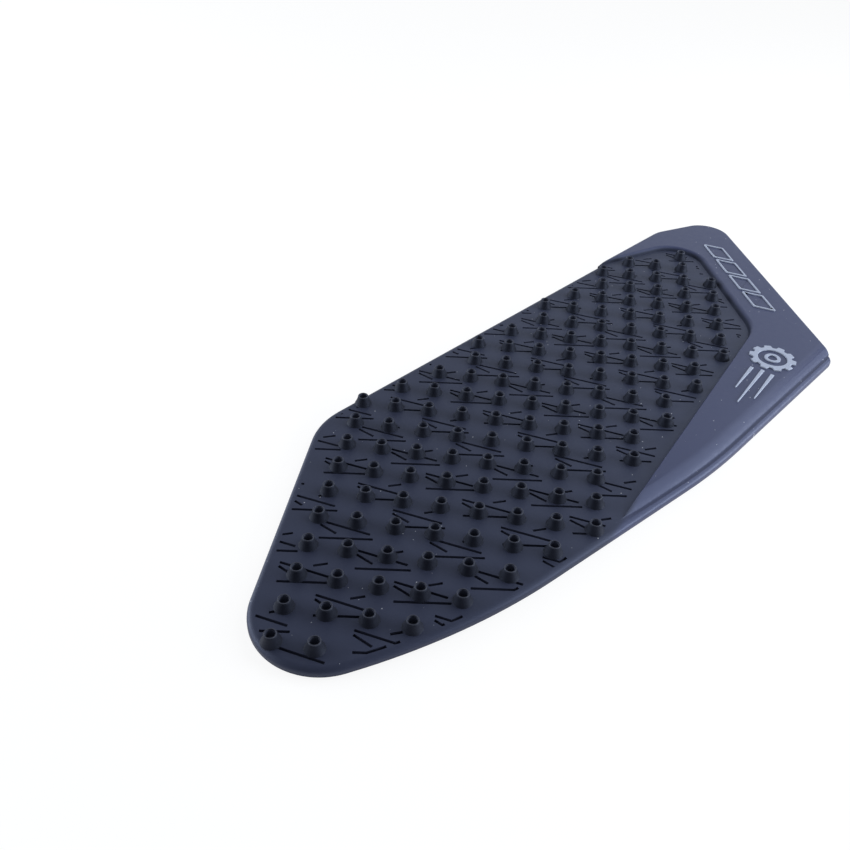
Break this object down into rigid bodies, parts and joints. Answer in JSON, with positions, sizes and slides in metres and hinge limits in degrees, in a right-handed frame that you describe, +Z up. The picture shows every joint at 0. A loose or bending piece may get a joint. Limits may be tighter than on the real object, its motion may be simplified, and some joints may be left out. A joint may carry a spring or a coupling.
{
  "type": "motorcycle tank pad",
  "caption": "Flat moulded rubber grip pad for the side of a motorcycle tank, with hollow studs, cut strokes and a smooth raised border, on adhesive film and a paper liner.",
  "frame": {"origin": "centre of the pad's plan box, on the surface that it lies on", "axes": "+X across the pad, +Y along it from the narrow round tip to the far end, +Z up out of the studded face; the stud rows run along X and Y"},
  "size_m": [0.1572, 0.2468, 0.0057],
  "materials": {
    "pad_rubber": "matt moulded rubber with a soft sheen",
    "clear_adhesive": "clear tacky film",
    "liner_paper": "coated pale pink paper"
  },
  "bodies": {
    "root": {"rubber_pad": "pad_rubber", "adhesive_film": "clear_adhesive", "release_liner": "liner_paper"}
  },
  "joints": []
}
